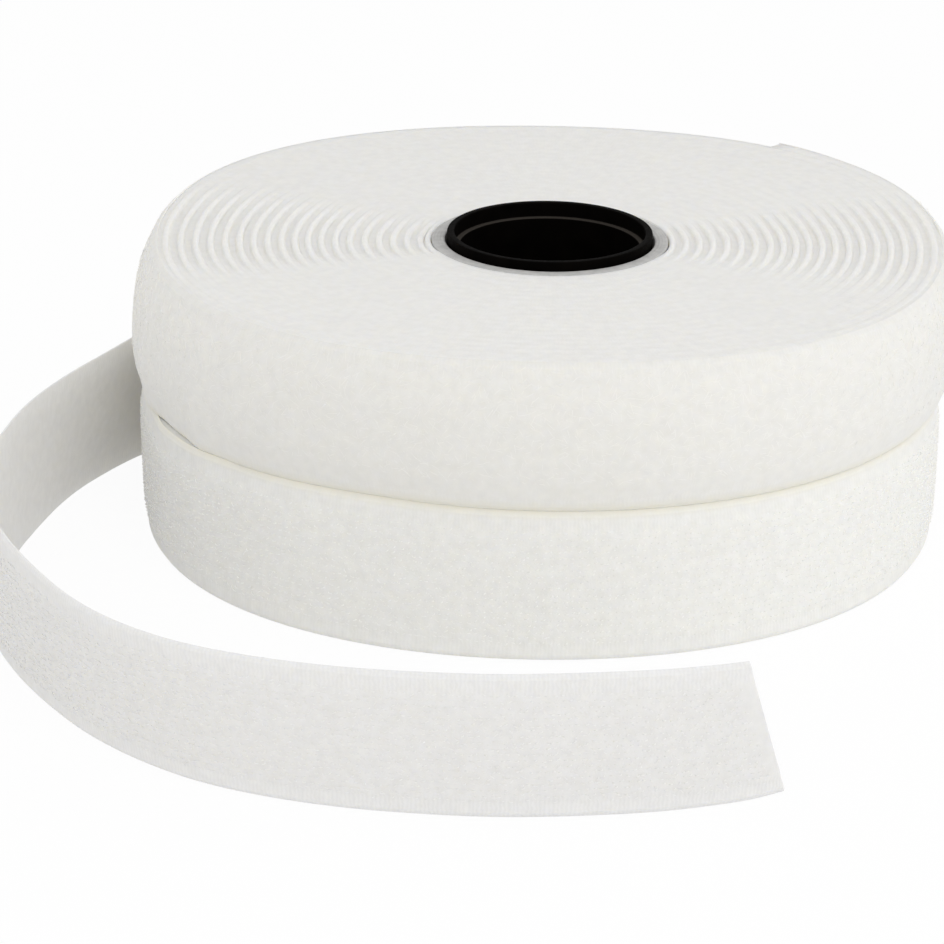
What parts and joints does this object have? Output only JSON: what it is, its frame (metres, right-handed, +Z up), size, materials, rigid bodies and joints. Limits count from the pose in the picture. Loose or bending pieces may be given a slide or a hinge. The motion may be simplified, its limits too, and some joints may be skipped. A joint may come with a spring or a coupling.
{
  "type": "hook and loop tape roll",
  "caption": "Stacked pair of flat wound coils of white hook and loop tape on a black hub tube, with a free tape end standing on edge; each coil turns on the hub as tape is drawn off.",
  "frame": {"origin": "on the roll's axis at the level that the roll lies on", "axes": "+Z up along the roll's axis, -Y to the front, where the free end of the tape lies"},
  "size_m": [0.1335, 0.1694, 0.0416],
  "materials": {
    "black_plastic": "moulded, slightly glossy",
    "grey_board": "bare grey board",
    "sticky_film": "thin double-sided film",
    "hook_tape": "white woven nylon with rows of fine hooks",
    "loop_tape": "white woven nylon with a napped loop pile"
  },
  "bodies": {
    "hub": {"hub_tube": "black_plastic"},
    "hook_roll": {"hook_core": "grey_board", "hook_start_strip": "sticky_film", "hook_tape_coil": "hook_tape", "hook_tape_tail": "hook_tape"},
    "loop_roll": {"loop_core": "grey_board", "loop_start_strip": "sticky_film", "loop_tape_coil": "loop_tape"}
  },
  "joints": [
    {"name": "hook_roll_turn", "type": "hinge", "parent": "hub", "child": "hook_roll", "pos_m": [0, 0, 0.01], "axis": [0, 0, 1], "continuous": true},
    {"name": "loop_roll_turn", "type": "hinge", "parent": "hub", "child": "loop_roll", "pos_m": [0, 0, 0.0304], "axis": [0, 0, 1], "continuous": true}
  ]
}
